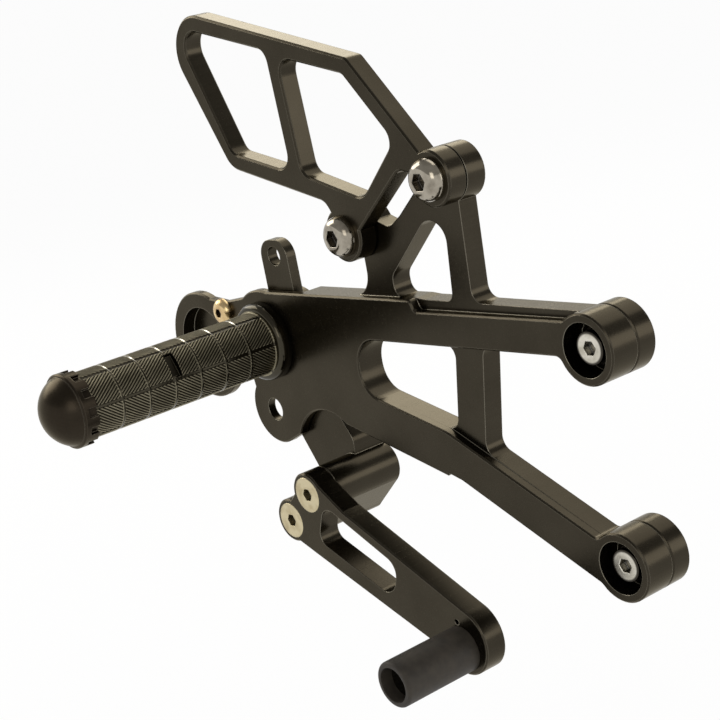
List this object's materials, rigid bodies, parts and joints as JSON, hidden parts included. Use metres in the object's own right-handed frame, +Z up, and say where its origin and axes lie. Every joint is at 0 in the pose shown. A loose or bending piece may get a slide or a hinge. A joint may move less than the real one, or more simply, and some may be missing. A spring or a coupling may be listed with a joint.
{
  "type": "motorbike rear set footrest",
  "caption": "Right-hand motorbike rear set: machined bracket with knurled footpeg, heel guard and a brake lever that swings on the footpeg's axis.",
  "frame": {"origin": "midway between the two mount bolts, on the plane where the spacers meet the bike's frame", "axes": "+X forward, +Y inboard along the mount bolts, +Z up with the two mount bolts one above the other"},
  "size_m": [0.2193, 0.112, 0.2066],
  "materials": {
    "black_anodised": "black anodised, satin",
    "peg_anodised": "black anodised, knurled",
    "zinc_steel": "zinc plated",
    "cream_zinc": "zinc plated, dull",
    "yellow_zinc": "yellow passivated",
    "bronze": "plain bearing bronze",
    "black_rubber": "matt"
  },
  "bodies": {
    "bracket": {"main_bracket": "black_anodised", "heel_guard": "black_anodised", "mount_spacer_upper": "black_anodised", "mount_spacer_lower": "black_anodised", "footpeg": "peg_anodised", "footpeg_cap": "peg_anodised", "heel_guard_screw_upper": "zinc_steel", "heel_guard_screw_lower": "zinc_steel", "mount_bolt_upper": "zinc_steel", "mount_bolt_lower": "zinc_steel", "mount_washer_upper": "zinc_steel", "mount_washer_lower": "zinc_steel", "pivot_bolt": "zinc_steel", "pivot_washer": "zinc_steel", "rear_lug_bolt": "yellow_zinc"},
    "lever": {"brake_lever": "black_anodised", "lever_bush_front": "bronze", "lever_bush_rear": "bronze", "toe_lever": "black_anodised", "toe_lever_screw_upper": "cream_zinc", "toe_lever_screw_lower": "cream_zinc", "toe_peg": "peg_anodised", "toe_peg_rubber": "black_rubber", "toe_peg_screw": "zinc_steel"}
  },
  "joints": [
    {"name": "brake_pivot", "type": "hinge", "parent": "bracket", "child": "lever", "pos_m": [-0.1505, -0.008, 0.0265], "axis": [0, 1, 0], "range_deg": [0, 12]}
  ]
}
